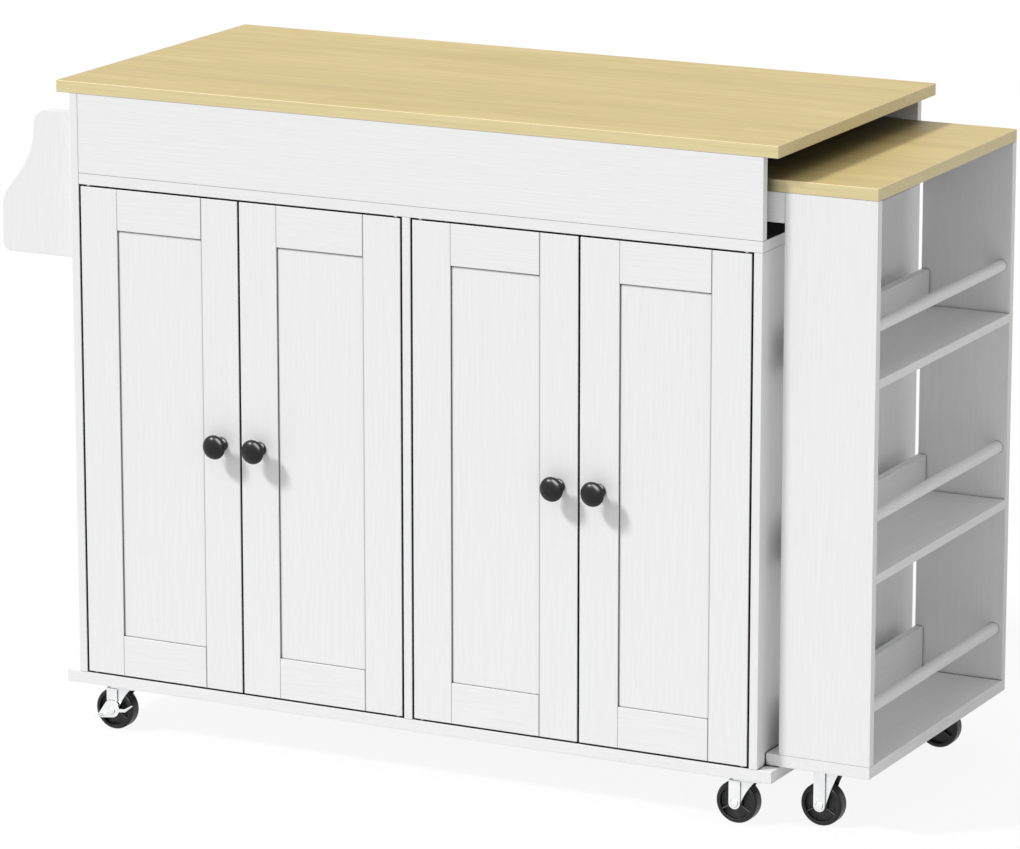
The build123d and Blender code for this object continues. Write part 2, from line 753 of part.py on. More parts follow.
# A door's front corner swings clear of the panel beside it
swing_room = pin_from_edge + door_side_gap - hypot(pin_from_edge, pin_from_front)
print(f"door corner clears its panel by {swing_room:.2f} mm as it swings")

os.makedirs("parts", exist_ok=True)
for node_name, solids in all_nodes().items():
    placed = [to_origin * solid for solid in solids]
    piece = placed[0] if len(placed) == 1 else Compound(children=placed)
    export_step(piece, f"parts/{node_name}.step")
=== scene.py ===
"""Looks for the rolling kitchen island: finishes, small fittings, studio light and camera."""
import json
import math

import bpy
from mathutils import Matrix, Vector


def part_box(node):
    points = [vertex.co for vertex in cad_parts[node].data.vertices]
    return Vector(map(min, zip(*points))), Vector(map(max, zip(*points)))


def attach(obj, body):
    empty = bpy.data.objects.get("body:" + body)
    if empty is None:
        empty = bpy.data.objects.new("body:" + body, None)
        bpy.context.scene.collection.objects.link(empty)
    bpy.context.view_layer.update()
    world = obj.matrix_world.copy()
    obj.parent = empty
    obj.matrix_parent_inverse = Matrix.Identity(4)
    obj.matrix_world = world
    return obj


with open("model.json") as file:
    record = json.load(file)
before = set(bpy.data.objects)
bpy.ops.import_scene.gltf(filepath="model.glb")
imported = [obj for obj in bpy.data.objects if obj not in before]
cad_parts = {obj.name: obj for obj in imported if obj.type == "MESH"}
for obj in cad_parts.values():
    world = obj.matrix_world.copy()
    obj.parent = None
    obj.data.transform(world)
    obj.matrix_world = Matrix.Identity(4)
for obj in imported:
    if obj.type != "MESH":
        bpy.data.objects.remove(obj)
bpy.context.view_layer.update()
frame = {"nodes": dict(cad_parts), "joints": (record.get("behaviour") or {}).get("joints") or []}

# Camera, in metres and degrees
camera_place = (3.2641, -6.3950, 2.1609)
camera_turn = 26.945
camera_dip = 13.556
camera_far = 100.0
image_width = 1020
focal_pixels = 5500
sensor_width = 36.0

# Light
key_direction = (0.521, 0.487, -0.701)
key_strength = 2.38
key_softness = 9.0              # degrees across, as seen from the island
room_light = 0.53
window_aim = (0.0, -0.24, 0.45)
window_way = (0.30, -0.58, 0.76)    # from the island to the window
window_run = (-0.86, 0.18, 0.45)    # along the window's length
window_distance = 2.6
window_size = (2.6, 1.1)
window_power = 210.0            # seen in the knobs and casters only
floor_seen = 0.95               # the floor to the eye
floor_bounce = 0.70             # the floor as it lights the island
floor_whiteness = 0.90          # share of the floor that the eye sees as plain white
floor_rough = 0.9
floor_size = 30.0

# Colours, as linear red, green and blue
white_pale = (0.86, 0.86, 0.86)
white_deep = (0.825, 0.825, 0.828)
oak_pale = (0.669, 0.522, 0.213)
oak_deep = (0.617, 0.475, 0.186)
oak_line = (0.461, 0.337, 0.119)
# edge band tone, made paler in part as painted light on the upright edges
oak_edge_band_lit_pale = (0.75, 0.636, 0.345)
oak_edge_band_lit_line = (0.60, 0.493, 0.238)
# painted highlight on the oak's upper edges
oak_arris_highlight = (1.0, 0.82, 0.50)
backing_pale = (0.50, 0.50, 0.49)
backing_deep = (0.46, 0.46, 0.45)
# painted shade, near black, on the deck's upper face
deck_shade_black = (0.012, 0.012, 0.012)
deck_shade_grey = (0.022, 0.022, 0.021)
# painted shade line down the inner edge of a door's right stile
shade_line_grey = (0.42, 0.42, 0.42)
enamel_black = (0.004, 0.004, 0.004)
enamel_worn = (0.008, 0.008, 0.008)
nylon_black = (0.002, 0.002, 0.002)
nylon_dusty = (0.006, 0.006, 0.006)
# painted light and shade on the wheels' black nylon: lit grey faces and ribs, shaded black walls
wheel_rim_lit_grey = (0.014, 0.014, 0.014)
wheel_web_lit_grey = (0.042, 0.042, 0.042)
wheel_rib_lit_grey = (0.10, 0.10, 0.10)
wheel_wall_shade_black = (0.001, 0.001, 0.001)
zinc_bright = (0.88, 0.885, 0.89)
zinc_dull = (0.81, 0.815, 0.82)
glide_pale = (0.74, 0.74, 0.72)
glide_deep = (0.66, 0.66, 0.64)

# Painted shade in the gaps between boards and in other hollows, in metres
gap_reach = 0.010
gap_rays = 8                    # tries at each place
gap_open = 0.57                 # share of open sky past which a face keeps its colour
gap_shut = 0.33                 # share at which it is as dark as it gets
gap_dark = (0.003, 0.003, 0.003)
joint_reach = 0.0022            # the same for the fine painted shade lines where two boards meet
joint_open = 0.92
joint_shut = 0.45
joint_dark = 0.22               # share of the colour left in such a line
rack_joint_dark = 0.70          # the same inside the open rack
recess_lean = 0.8               # how far a recessed panel's shade leans to the key light
recess_rays = 24
recess_reach = 0.0045
recess_open = 0.90
recess_shut = 0.52
recess_dark = 0.14              # share of the panel's colour left beside the rail and stile
cover_reach = 0.055             # how far over the table the main top still shades it
cover_shut = 0.42
cover_open = 0.80
cover_dark = 0.22               # share of the table's colour left deep under the main top
fork_reach = 0.030              # across the inside of a fork
fork_shut = 0.34
fork_open = 0.50
fork_unshaded = 0.006            # top of a fork, which keeps its colour free of painted shade

# White boards: the grain as repeats in a metre, its relief and gloss, and the doors, in metres
emboss_across = 420.0
emboss_along = 16.0
emboss_detail = 3.0
emboss_roughness = 0.6
emboss_range = (0.36, 0.64)     # noise at the bottom and at the top of the pressed grain
emboss_strength = 0.16
emboss_depth = 0.0006
cloud_across = 45.0             # slow variation beside the grain
cloud_along = 5.0
cloud_detail = 2.0
cloud_weight = 0.35
palest_sum = 1.3                # grain and cloud together where the board is palest
white_rough = (0.58, 0.44)      # at the bottom and at the top of the grain
rack_gloss = 0.3                # the rack's boards are a little duller than the doors
stile_width = 0.0555
shade_line_inside = 0.0003            # painted shade line down the inner edge of a door's right stile
shade_line_outside = 0.0014
deck_shade_depth = 0.0002           # painted shade on the deck's upper face

# Oak boards: staves in metres, and noise as repeats in a metre
stave_length = 0.42
stave_width = 0.034
stave_shift = 0.37              # of each second row, as a share of a stave
stave_seam = 0.0006
stave_seam_softness = 0.3
streak_along = 5.0              # grain
streak_across = 260.0
streak_detail = 4.0
streak_roughness = 0.62
streak_range = (0.40, 0.72)     # noise where a streak starts and where it is strongest
streak_share = 0.55             # of the line colour in the strongest streak
drift_along = 1.6               # slow change of tone
drift_across = 22.0
drift_detail = 3.0
drift_range = (0.42, 0.70)
drift_share = 0.34
pore_along = 22.0
pore_across = 900.0
pore_detail = 2.0
pore_strength = 0.12
pore_depth = 0.0004
oak_gloss_range = (0.3, 0.7)    # grain where the board is glossiest and where it is dullest
oak_rough = (0.42, 0.54)
edge_turn = (0.4, 0.6)          # a face whose normal rises less belongs to the board's edge
arris_width = 0.0013            # painted highlight line on the upper edges
arris_rise = (0.30, 0.94)       # rise of the rounded normal on that line
arris_rays = 8

# Moulded, plated and enamelled finishes: speckle as repeats in a metre, relief and roughness
speckle_detail = 4.0
speckle_range = (0.3, 0.7)
speckle_depth = 0.0002
blotch_scale = 12               # a blotch of colour is so many speckles wide
blotch_detail = 2.0
blotch_range = (0.35, 0.65)
enamel_speckle = 900.0
enamel_rough = (0.25, 0.33)
enamel_strength = 0.03
enamel_gloss = 0.33
zinc_speckle = 500.0
zinc_rough = (0.30, 0.40)
zinc_strength = 0.03
glide_speckle = 600.0
glide_rough = (0.35, 0.5)
glide_strength = 0.05
nylon_speckle = 700.0
nylon_rough = (0.32, 0.42)
nylon_strength = 0.08
nylon_gloss = 0.3

# Wheels, in metres
wheel_rim_inner = 0.0225
wheel_rib_setback = 0.0015      # ribs under the rim's face
wheel_edge_ease = 0.0012        # rounding of the moulded edges
wheel_edge_rays = 6
wheel_slack = 0.0002            # how near counts as on a rib or in the rim
wheel_face_turn = (0.70, 0.80)  # a face whose normal points more along the axle is a side face

# Small fittings, in metres
hair = 0.00002                  # how near counts as the same place
upright = 0.9                   # a normal that points at least so far along an axis faces that way
smooth_angle = 35               # degrees; sharper edges stay sharp
screw_sides = 24
flat_screw_ease = 0.08          # of its radius
flat_screw_slot = 0.92          # the cross's reach, of its radius
washer_ease = 0.35              # of its height
pan_ease = 0.55                 # of the head's height
cross_rim = 0.28                # round the cross; this and the next two are shares of its reach
cross_inner = 0.75
cross_depth = 0.4
cross_pinch = 0.38              # how near the middle the corners between the arms come
cross_taper = 0.6               # the cross's floor, of its mouth
cross_arm = (20, 70)            # degrees; between them is the corner between two arms
plate_screw_offset = 0.0145     # screws from the middle of a caster's plate
plate_screw_radius = 0.0021
plate_screw_height = 0.0014
knob_screw_size = (0.0042, 0.0022, 0.0065, 0.0008)  # head's radius and height, washer's radius and height
catch_half_length = 0.014
catch_depth = 0.018
catch_height = 0.013
catch_ear = 0.008
catch_ear_shares = (1, 0.7, 0.2)    # an ear's end, of the block
catch_rim = 0.002
catch_sink = 0.0012
catch_ease = 0.0004
catch_from_door = 0.0025
pole_drops = (0.8, 0.35)        # poles under the catch's top, of its height
pole_half_length = 0.011
pole_thickness = 0.0018
pole_proud = 0.0008
pole_ease = 0.0002
strike_half_size = (0.010, 0.006)
strike_thickness = 0.001
strike_corner = 0.0025
strike_screw_radius = 0.0032
strike_screw_height = 0.0014
strike_from_edge = 0.013        # plate's middle to the door's free edge and top
strike_from_top = 0.0085
facing_down = (180, 0, 0)       # turns of a piece made standing up, in degrees
facing_back = (-90, 0, 0)


# Materials

def new_node(tree, kind, settings=None, **inputs):
    """Adds a node; an input is a value or another node's output."""
    node = tree.nodes.new(kind)
    for name, value in (settings or {}).items():
        setattr(node, name, value)
    for name, value in inputs.items():
        socket = node.inputs[name.replace("_", " ")]
        if isinstance(value, bpy.types.NodeSocket):
            tree.links.new(value, socket)
        else:
            socket.default_value = value
    return node


def opaque(colour):
    return (*colour, 1.0)


def new_finish(name, **values):
    """A material with one shader; returns it with its tree and the shader."""
    material = bpy.data.materials.new(name)
    material.use_nodes = True
    tree = material.node_tree
    shader = tree.nodes["Principled BSDF"]
    for key, value in values.items():
        shader.inputs[key.replace("_", " ")].default_value = value
    return material, tree, shader


def connect(tree, shader, colour, roughness, bump):
    tree.links.new(colour, shader.inputs["Base Color"])
    tree.links.new(roughness, shader.inputs["Roughness"])
    tree.links.new(bump.outputs["Normal"], shader.inputs["Normal"])


def stretched_noise(tree, place, scale, detail, roughness=0.5):
    """Noise drawn out along one axis; scale is its repeats in a metre along X, Y and Z."""
    mapping = new_node(tree, "ShaderNodeMapping", Vector=place, Scale=scale)
    return new_node(tree, "ShaderNodeTexNoise", Vector=mapping.outputs["Vector"], Scale=1.0,
                    Detail=detail, Roughness=roughness).outputs["Fac"]


def object_place(tree):
    return new_node(tree, "ShaderNodeTexCoord").outputs["Object"]


def split(tree, vector):
    """The X, Y and Z of a vector."""
    return new_node(tree, "ShaderNodeSeparateXYZ", Vector=vector).outputs


def object_facing(tree):
    """The X, Y and Z of a face's normal in the piece's own frame."""
    return split(tree, new_node(tree, "ShaderNodeTexCoord").outputs["Normal"])


def spread(tree, value, low, high, to_low, to_high):
    return new_node(tree, "ShaderNodeMapRange", Value=value, From_Min=low, From_Max=high,
                    To_Min=to_low, To_Max=to_high).outputs["Result"]


def blend_colours(tree, factor, first, second):
    node = tree.nodes.new("ShaderNodeMix")
    node.data_type = "RGBA"
    for socket, value in ((node.inputs[0], factor), (node.inputs[6], first), (node.inputs[7], second)):
        if isinstance(value, bpy.types.NodeSocket):
            tree.links.new(value, socket)
        else:
            socket.default_value = opaque(value)
    return node.outputs[2]


def within(tree, value, low, high):
    """1 where a value lies between two others, and 0 elsewhere."""
    half = (high - low) / 2
    inside = new_node(tree, "ShaderNodeMath", {"operation": "COMPARE"})
    tree.links.new(value, inside.inputs[0])
    inside.inputs[1].default_value = low + half
    inside.inputs[2].default_value = half
    return inside.outputs[0]


def along(axis, along_value, across_value):
    """A scale with one value along an axis and another across it."""
    return tuple(along_value if index == axis else across_value for index in range(3))


def emboss_height(tree, place, axis):
    """Height of the pressed grain and of its slow variation, along one axis."""
    fine = stretched_noise(tree, place, along(axis, emboss_along, emboss_across),
                           emboss_detail, emboss_roughness)
    slow = stretched_noise(tree, place, along(axis, cloud_along, cloud_across), cloud_detail)
    return fine, slow


def reckon(tree, operation, first, second=None):
    """The result of a sum of one or two values."""
    node = new_node(tree, "ShaderNodeMath", {"operation": operation})
    tree.links.new(first, node.inputs[0])
    if second is not None:
        tree.links.new(second, node.inputs[1])
    return node.outputs[0]


def lean_to_key(tree, lean):
    """A face's normal, turned some way towards the key light."""
    leaning = new_node(tree, "ShaderNodeVectorMath", {"operation": "ADD"})
    tree.links.new(new_node(tree, "ShaderNodeNewGeometry").outputs["Normal"], leaning.inputs[0])
    leaning.inputs[1].default_value = [-lean * value for value in key_direction]
    return new_node(tree, "ShaderNodeVectorMath", {"operation": "NORMALIZE"},
                    Vector=leaning.outputs["Vector"]).outputs["Vector"]


def open_share(tree, reach, shut, clear, least=0.0, lean=0.0):
    """How open a place is within some reach: least where it is shut in, and 1 where it is clear.

    With a lean, the side that the key light comes from counts for more.
    """
    rays = recess_rays if lean else gap_rays
    shade = new_node(tree, "ShaderNodeAmbientOcclusion", {"samples": rays}, Distance=reach)
    if lean:
        tree.links.new(lean_to_key(tree, lean), shade.inputs["Normal"])
    return spread(tree, shade.outputs["AO"], shut, clear, least, 1.0)


def darken_gaps(tree, colour, line_dark=joint_dark):
    """Painted shade deep in the narrow gaps between boards, and fine painted shade lines where they meet."""
    light = reckon(tree, "MULTIPLY", open_share(tree, gap_reach, gap_shut, gap_open),
                   open_share(tree, joint_reach, joint_shut, joint_open, line_dark))
    return blend_colours(tree, light, gap_dark, colour)


def shade_fork(tree, colour, top):
    """Painted shade inside a fork, and a fine painted shade line beside its raised strips, but none along
    its top.
    """
    z = split(tree, object_place(tree))["Z"]
    light = reckon(tree, "MULTIPLY", open_share(tree, fork_reach, fork_shut, fork_open),
                   open_share(tree, joint_reach, joint_shut, joint_open, joint_dark))
    at_top = spread(tree, z, top - fork_unshaded, top - fork_unshaded / 2, 0.0, 1.0)
    return blend_colours(tree, reckon(tree, "MAXIMUM", light, at_top), gap_dark, colour)


def finish_white(tree, shader, fine, slow, shade_line=None, line_dark=joint_dark):
    """White laminate from its grain's height: colour, gloss and relief, and a grey painted shade line if one
    is given.
    """
    grain = spread(tree, fine, *emboss_range, 0.0, 1.0)
    weight = new_node(tree, "ShaderNodeMath", {"operation": "MULTIPLY_ADD"})
    tree.links.new(slow, weight.inputs[0])
    weight.inputs[1].default_value = cloud_weight
    tree.links.new(grain, weight.inputs[2])
    tone = spread(tree, weight.outputs[0], 0.0, palest_sum, 0.0, 1.0)
    colour = blend_colours(tree, tone, white_deep, white_pale)
    # painted shade line
    if shade_line is not None:
        colour = blend_colours(tree, shade_line, colour, shade_line_grey)
    colour = darken_gaps(tree, colour, line_dark)
    bump = new_node(tree, "ShaderNodeBump", Strength=emboss_strength, Distance=emboss_depth, Height=grain)
    connect(tree, shader, colour, spread(tree, grain, 0.0, 1.0, *white_rough), bump)
    return colour


def white_board(name, axis, line_dark=joint_dark, **values):
    """White laminated board with its pressed grain along one axis."""
    material, tree, shader = new_finish(name, **values)
    fine, slow = emboss_height(tree, object_place(tree), axis)
    finish_white(tree, shader, fine, slow, line_dark=line_dark)
    return material


def recessed_panel(name):
    """White panel with upright grain, shaded beside the rail and stile on the key light's side."""
    material, tree, shader = new_finish(name)
    fine, slow = emboss_height(tree, object_place(tree), 2)
    board = finish_white(tree, shader, fine, slow)
    light = open_share(tree, recess_reach, recess_shut, recess_open, recess_dark, recess_lean)
    tree.links.new(blend_colours(tree, light, gap_dark, board), shader.inputs["Base Color"])
    return material


def white_frame(name, left, right):
    """White door frame: grain up the stiles, and across the rails between left and right."""
    material, tree, shader = new_finish(name)
    place = object_place(tree)
    x = split(tree, place)["X"]
    on_rail = within(tree, x, left, right)
    up = emboss_height(tree, place, 2)
    across = emboss_height(tree, place, 0)
    heights = []
    for first, second in zip(up, across):
        mix = new_node(tree, "ShaderNodeMix", {"data_type": "FLOAT"})
        tree.links.new(on_rail, mix.inputs[0])
        tree.links.new(first, mix.inputs[2])
        tree.links.new(second, mix.inputs[3])
        heights.append(mix.outputs[0])
    finish_white(tree, shader, *heights, shade_line=within(tree, x, right - shade_line_inside, right + shade_line_outside))
    return material


def deck_board(name, upper_face):
    """White board with near-black painted shade on its upper face, which the table's end slides on."""
    material, tree, shader = new_finish(name)
    place = object_place(tree)
    fine, slow = emboss_height(tree, place, 0)
    board = finish_white(tree, shader, fine, slow)
    # near-black painted shade on the upper face
    in_deck_shade = within(tree, split(tree, place)["Z"], upper_face - deck_shade_depth, upper_face + deck_shade_depth)
    deck_shade_colour = blend_colours(tree, fine, deck_shade_black, deck_shade_grey)
    tree.links.new(blend_colours(tree, in_deck_shade, board, deck_shade_colour), shader.inputs["Base Color"])
    return material


def oak_board(name, covered=False):
    """Pale oak laminate: staves and grain along X, a painted highlight on the upper edges, edge bands paler
    in part as painted light, and a grey backing underneath.

    A covered board has painted shade where another lies over it.
    """
    material, tree, shader = new_finish(name)
    place = object_place(tree)
    staves = new_node(tree, "ShaderNodeTexBrick", {"offset": stave_shift, "offset_frequency": 2},
                      Vector=place, Scale=1.0, Color1=opaque(oak_pale), Color2=opaque(oak_deep),
                      Mortar=opaque(oak_deep), Mortar_Size=stave_seam, Mortar_Smooth=stave_seam_softness,
                      Brick_Width=stave_length, Row_Height=stave_width)
    streak = stretched_noise(tree, place, along(0, streak_along, streak_across), streak_detail,
                             streak_roughness)
    drift = stretched_noise(tree, place, along(0, drift_along, drift_across), drift_detail)
    pores = stretched_noise(tree, place, along(0, pore_along, pore_across), pore_detail)
    tone = spread(tree, streak, *streak_range, 0.0, streak_share)
    face = blend_colours(tree, tone, staves.outputs["Color"], oak_line)
    face = blend_colours(tree, spread(tree, drift, *drift_range, 0.0, drift_share), face, oak_line)
    rise = object_facing(tree)["Z"]
    on_edge = spread(tree, reckon(tree, "ABSOLUTE", rise), *edge_turn, 1.0, 0.0)
    # edge band tone, paler in part as painted light on the upright edges
    edge = blend_colours(tree, tone, oak_edge_band_lit_pale, oak_edge_band_lit_line)
    colour = blend_colours(tree, on_edge, face, edge)
    # painted highlight on the rounded upper edges
    rounded = new_node(tree, "ShaderNodeBevel", {"samples": arris_rays}, Radius=arris_width)
    on_arris_highlight = within(tree, split(tree, rounded.outputs["Normal"])["Z"], *arris_rise)
    colour = blend_colours(tree, on_arris_highlight, colour, oak_arris_highlight)
    below = spread(tree, rise, -edge_turn[1], -edge_turn[0], 1.0, 0.0)
    colour = blend_colours(tree, below, colour, blend_colours(tree, streak, backing_pale, backing_deep))
    if covered:
        # painted shade on the table under the main top
        light = open_share(tree, cover_reach, cover_shut, cover_open, cover_dark)
        colour = blend_colours(tree, light, gap_dark, colour)
    bump = new_node(tree, "ShaderNodeBump", Strength=pore_strength, Distance=pore_depth, Height=pores)
    connect(tree, shader, colour, spread(tree, streak, *oak_gloss_range, *oak_rough), bump)
    return material


def speckled(name, scale, pale, deep, rough, strength, shade=None, **values):
    """Moulded, plated or enamelled: blotched colour, speckled gloss and relief, and a shade over it."""
    material, tree, shader = new_finish(name, **values)
    place = object_place(tree)
    fine = stretched_noise(tree, place, (scale,) * 3, speckle_detail)
    slow = stretched_noise(tree, place, (scale / blotch_scale,) * 3, blotch_detail)
    colour = blend_colours(tree, spread(tree, slow, *blotch_range, 0.0, 1.0), pale, deep)
    bump = new_node(tree, "ShaderNodeBump", Strength=strength, Distance=speckle_depth, Height=fine)
    if shade:
        colour = shade(tree, colour)
    connect(tree, shader, colour, spread(tree, fine, *speckle_range, *rough), bump)
    return material


def plated(name, shade=None):
    return speckled(name, zinc_speckle, zinc_bright, zinc_dull, zinc_rough, zinc_strength, shade,
                    Metallic=1.0)


def moulded_wheel(name, axle, half_width):
    """Black wheel with painted light and shade: lit grey rim and web faces, shaded dark walls between them,
    pale lit ribs, and eased corners.
    """
    material, tree, shader = new_finish(name, Specular_IOR_Level=nylon_gloss)
    place = object_place(tree)
    from_axle = new_node(tree, "ShaderNodeMapping", Vector=place, Location=[-value for value in axle])
    offset = split(tree, from_axle.outputs["Vector"])
    across = new_node(tree, "ShaderNodeCombineXYZ", X=offset["X"], Z=offset["Z"])
    radius = new_node(tree, "ShaderNodeVectorMath", {"operation": "LENGTH"}, Vector=across.outputs["Vector"])
    face = spread(tree, reckon(tree, "ABSOLUTE", object_facing(tree)["Y"]), *wheel_face_turn, 0.0, 1.0)
    rib_face = half_width - wheel_rib_setback
    from_middle = reckon(tree, "ABSOLUTE", offset["Y"])
    on_rib = within(tree, from_middle, rib_face - wheel_slack, rib_face + wheel_slack)
    in_rim = within(tree, radius.outputs["Value"], 0.0, wheel_rim_inner + wheel_slack)
    fine = stretched_noise(tree, place, (nylon_speckle,) * 3, speckle_detail)
    tread = blend_colours(tree, fine, nylon_black, nylon_dusty)
    # painted light on the side faces and ribs, painted shade on the walls
    rim = blend_colours(tree, face, tread, wheel_rim_lit_grey)
    web = blend_colours(tree, face, wheel_wall_shade_black, wheel_web_lit_grey)
    web = blend_colours(tree, on_rib, web, wheel_rib_lit_grey)
    eased = new_node(tree, "ShaderNodeBevel", {"samples": wheel_edge_rays}, Radius=wheel_edge_ease)
    bump = new_node(tree, "ShaderNodeBump", Strength=nylon_strength, Distance=speckle_depth, Height=fine,
                    Normal=eased.outputs["Normal"])
    colour = blend_colours(tree, in_rim, rim, web)
    connect(tree, shader, colour, spread(tree, fine, *speckle_range, *nylon_rough), bump)
    return material


def dress(node, material):
    """Gives a CAD node its finish."""
    slots = frame["nodes"][node].data.materials
    slots.clear()
    slots.append(material)


grain_along_x = white_board("white_grain_along", 0)
grain_along_y = white_board("white_grain_deep", 1)
grain_up = white_board("white_grain_up", 2)
rack_grain_along_y = white_board("white_rack_grain_deep", 1, rack_joint_dark, Specular_IOR_Level=rack_gloss)
rack_grain_up = white_board("white_rack_grain_up", 2, rack_joint_dark, Specular_IOR_Level=rack_gloss)
door_panel = recessed_panel("white_recessed_panel")
enamel = speckled("black_enamel", enamel_speckle, enamel_black, enamel_worn, enamel_rough, enamel_strength,
                  Specular_IOR_Level=enamel_gloss)
zinc = plated("bright_zinc")
# zinc with painted shade in its gaps, for the axles and brakes
gap_shaded_zinc = plated("bright_zinc_gap_shaded", darken_gaps)
glide = speckled("glide_plastic", glide_speckle, glide_pale, glide_deep, glide_rough, glide_strength)

dress("main_top", oak_board("oak_staves"))
dress("rack_top", oak_board("oak_table_staves", covered=True))
for name in ("base_board", "front_apron", "back_apron", "shelf_boards", "table_rails", "table_stops"):
    dress(name, grain_along_x)
for name in ("spice_shelf", "spice_rail", "rack_base", "table_end_board"):
    dress(name, grain_along_y)
for name in ("rack_shelves", "rack_lips", "rack_rails"):
    dress(name, rack_grain_along_y)
for name in ("left_side_panel", "right_side_panel", "centre_divider", "back_panels", "spice_ends",
             "rack_front_panel"):
    dress(name, grain_up)
dress("rack_back_panel", rack_grain_up)
for name in ("shelf_pins", "hinge_pins", "caster_plates", "rack_caster_plates"):
    dress(name, zinc)
dress("table_glides", glide)
dress("carcass_top", deck_board("white_deck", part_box("carcass_top")[1].z))

for number in range(1, 5):
    low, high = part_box(f"door_{number}_frame")
    dress(f"door_{number}_frame",
          white_frame(f"white_frame_{number}", low.x + stile_width, high.x - stile_width))
    dress(f"door_{number}_panel", door_panel)
    dress(f"door_{number}_knob", enamel)
for caster in ("front_left", "front_right", "back_left", "back_right", "rack_front", "rack_back"):
    fork_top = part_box(f"fork_{caster}")[1].z
    dress(f"fork_{caster}", plated(f"bright_zinc_fork_{caster}",
                                   lambda tree, colour: shade_fork(tree, colour, fork_top)))
    dress(f"axle_{caster}", gap_shaded_zinc)
    low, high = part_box(f"wheel_{caster}")
    dress(f"wheel_{caster}", moulded_wheel(f"black_nylon_{caster}", (low + high) / 2, (high.y - low.y) / 2))
for caster in ("front_left", "back_left"):
    dress(f"brake_{caster}", gap_shaded_zinc)


# Small fittings

def deselect_everything():
    bpy.ops.object.select_all(action="DESELECT")


def select_only(piece):
    deselect_everything()
    piece.select_set(True)
    bpy.context.view_layer.objects.active = piece


def pick(piece, kind, test):
    """Goes into edit mode with only some faces, edges or points of a piece selected."""
    mesh = piece.data
    for parts in (mesh.vertices, mesh.edges, mesh.polygons):
        parts.foreach_set("select", [False] * len(parts))
    if kind == "faces":
        for face in mesh.polygons:
            face.select = test(face.center, face.normal)
    elif kind == "edges":
        for edge in mesh.edges:
            edge.select = all(test(mesh.vertices[index].co) for index in edge.vertices)
    else:
        for point in mesh.vertices:
            point.select = test(point.co)
    bpy.context.tool_settings.mesh_select_mode = (kind == "points", kind == "edges", kind == "faces")
    bpy.ops.object.mode_set(mode="EDIT")


def done():
    bpy.ops.object.mode_set(mode="OBJECT")


def new_cylinder(radius, height):
    """An upright cylinder that stands on the origin."""
    deselect_everything()
    bpy.ops.mesh.primitive_cylinder_add(vertices=screw_sides, radius=radius, depth=height,
                                        location=(0, 0, height / 2))
    bpy.ops.object.transform_apply(location=True, rotation=True, scale=True)
    return bpy.context.object


def new_block(low, high):
    """A block between two corners."""
    deselect_everything()
    size = [b - a for a, b in zip(low, high)]
    middle = [(a + b) / 2 for a, b in zip(low, high)]
    bpy.ops.mesh.primitive_cube_add(size=1, location=middle, scale=size)
    bpy.ops.object.transform_apply(location=True, rotation=True, scale=True)
    return bpy.context.object


def pick_top(piece, top, reach):
    """Goes into edit mode with the upper faces selected whose middle lies within reach of the axis."""
    pick(piece, "faces", lambda centre, normal: (normal.z > upright and centre.z > top - hair
                                                 and centre.xy.length < reach))


def cross_recess(piece, top, radius):
    """Sinks a cross into a screw's flat top."""
    pick_top(piece, top, radius)
    bpy.ops.mesh.inset(thickness=radius * cross_rim)
    done()

    def between_arms(co):
        turn = math.degrees(math.atan2(co.y, co.x)) % 90
        return (co.z > top - hair and co.xy.length < radius * cross_inner
                and cross_arm[0] < turn < cross_arm[1])

    pick(piece, "points", between_arms)
    bpy.ops.transform.resize(value=(cross_pinch, cross_pinch, 1), center_override=(0, 0, top))
    done()
    pick_top(piece, top, hair)
    bpy.ops.mesh.extrude_region_move(TRANSFORM_OT_translate={"value": (0, 0, -radius * cross_depth)})
    bpy.ops.transform.resize(value=(cross_taper, cross_taper, 1), center_override=(0, 0, top))
    done()


def flat_screw(radius, height):
    """Countersunk screw head, flush with its plate."""
    piece = new_cylinder(radius, height)
    pick(piece, "edges", lambda co: co.z > height - hair)
    bpy.ops.mesh.bevel(offset=radius * flat_screw_ease, segments=2, affect="EDGES")
    done()
    cross_recess(piece, height, radius * flat_screw_slot)
    return piece


def pan_screw(radius, height, washer_radius, washer_height):
    """Pan head screw that stands on its washer."""
    piece = new_cylinder(washer_radius, washer_height)
    pick(piece, "edges", lambda co: co.z > washer_height - hair)
    ease = washer_height * washer_ease
    bpy.ops.mesh.bevel(offset=ease, segments=2, affect="EDGES")
    done()
    pick_top(piece, washer_height, radius)
    bpy.ops.mesh.inset(thickness=washer_radius - ease - radius)
    bpy.ops.mesh.extrude_region_move(TRANSFORM_OT_translate={"value": (0, 0, height)})
    done()
    top = washer_height + height
    pick(piece, "edges", lambda co: co.z > top - hair)
    bpy.ops.mesh.bevel(offset=height * pan_ease, segments=4, affect="EDGES")
    done()
    cross_recess(piece, top, radius - height * pan_ease)
    return piece


def set_down(piece, place, turn=(0, 0, 0)):
    """Turns a piece about the origin and moves it to its place, in its mesh."""
    select_only(piece)
    piece.rotation_euler = [math.radians(angle) for angle in turn]
    piece.location = place
    bpy.ops.object.transform_apply(location=True, rotation=True, scale=True)


def copies(piece, places, turn=(0, 0, 0)):
    """One copy of a piece at each place; the piece itself takes the first."""
    made = [piece]
    for _ in places[1:]:
        select_only(piece)
        bpy.ops.object.duplicate(linked=False)
        made.append(bpy.context.object)
    for copy, place in zip(made, places):
        set_down(copy, place, turn)
    return made


def joined(pieces):
    deselect_everything()
    for piece in pieces:
        piece.select_set(True)
    bpy.context.view_layer.objects.active = pieces[0]
    if len(pieces) > 1:
        bpy.ops.object.join()
    return bpy.context.object


